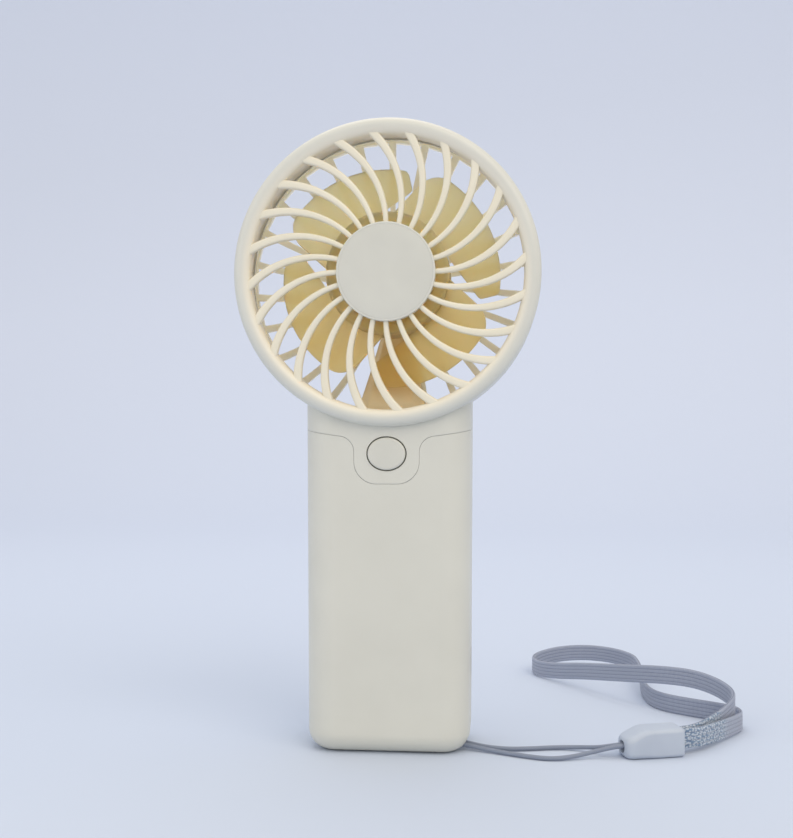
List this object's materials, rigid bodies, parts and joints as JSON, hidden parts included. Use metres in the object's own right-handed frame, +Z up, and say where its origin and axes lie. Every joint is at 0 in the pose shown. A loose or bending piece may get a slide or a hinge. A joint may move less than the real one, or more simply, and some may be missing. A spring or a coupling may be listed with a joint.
{
  "type": "handheld rechargeable fan",
  "caption": "Pocket-sized electric fan: round grilled head with a translucent impeller on a flat upright handle, power button, side charging port and wrist strap.",
  "frame": {"origin": "on the surface it stands on, under the middle of handle and head", "axes": "+Z up, +X to the right and +Y away from someone facing the front grille; the fan turns about Y"},
  "size_m": [0.1417, 0.1179, 0.1705],
  "materials": {
    "ivory_shell": "satin moulded ABS",
    "amber_blades": "translucent polycarbonate",
    "motor_steel": "zinc-plated drawn sheet",
    "motor_plastic": "glass-filled nylon",
    "bush_bronze": "oil-filled sintered bronze",
    "ferrite": "pressed ferrite",
    "leaf_bronze": "phosphor bronze leaf",
    "lamination": "stacked silicon steel",
    "copper_winding": "enamelled copper wire",
    "shaft_steel": "ground steel",
    "screw_steel": "zinc-plated steel",
    "switch_black": "moulded switch body",
    "plug_shell": "nickel-plated socket shell",
    "board_green": "solder mask on glass epoxy",
    "chip_black": "epoxy moulding",
    "pouch_foil": "laminated cell foil",
    "foam_grey": "closed-cell foam pad",
    "wire_red": "PVC insulation",
    "wire_black": "PVC insulation",
    "strap_grey_blue": "woven polyester",
    "string_grey_blue": "braided polyester",
    "clasp_grey_blue": "moulded clasp"
  },
  "bodies": {
    "housing": {"front_cover": "ivory_shell", "centre_cap": "ivory_shell", "handle_front_cover": "ivory_shell", "rear_cover": "ivory_shell", "rear_cap": "ivory_shell", "motor_can": "motor_steel", "motor_end_cap": "motor_plastic", "motor_front_bush": "bush_bronze", "motor_rear_bush": "bush_bronze", "motor_magnets": "ferrite", "motor_brushes": "leaf_bronze", "motor_screws": "screw_steel", "tact_switch_body": "switch_black", "usb_socket": "plug_shell", "usb_tongue": "switch_black", "main_board": "board_green", "board_chips": "chip_black", "board_inductor": "ferrite", "board_screws": "screw_steel", "cover_screws": "screw_steel", "battery_cell": "pouch_foil", "battery_foam": "foam_grey", "motor_wire_red": "wire_red", "motor_wire_black": "wire_black", "battery_wire_red": "wire_red", "battery_wire_black": "wire_black", "strap_string": "string_grey_blue", "strap_clasp": "clasp_grey_blue", "strap_band": "strap_grey_blue"},
    "impeller": {"impeller": "amber_blades", "motor_shaft": "shaft_steel", "armature_core": "lamination", "armature_coils": "copper_winding", "commutator": "copper_winding"},
    "power_button": {"power_button": "ivory_shell"},
    "switch_plunger": {"tact_switch_plunger": "switch_black"}
  },
  "joints": [
    {"name": "impeller_spin", "type": "hinge", "parent": "housing", "child": "impeller", "pos_m": [0, 0, 0.1293], "axis": [0, 1, 0], "continuous": true},
    {"name": "button_press", "type": "slide", "parent": "housing", "child": "power_button", "axis": [0, 1, 0], "range_m": [0, 0.00035], "stiffness_N_per_m": 100},
    {"name": "plunger_press", "type": "slide", "parent": "housing", "child": "switch_plunger", "axis": [0, 1, 0], "range_m": [0, 0.00035]}
  ],
  "couplings": [
    {"joint": "plunger_press", "follows": "button_press", "ratio": 1}
  ]
}
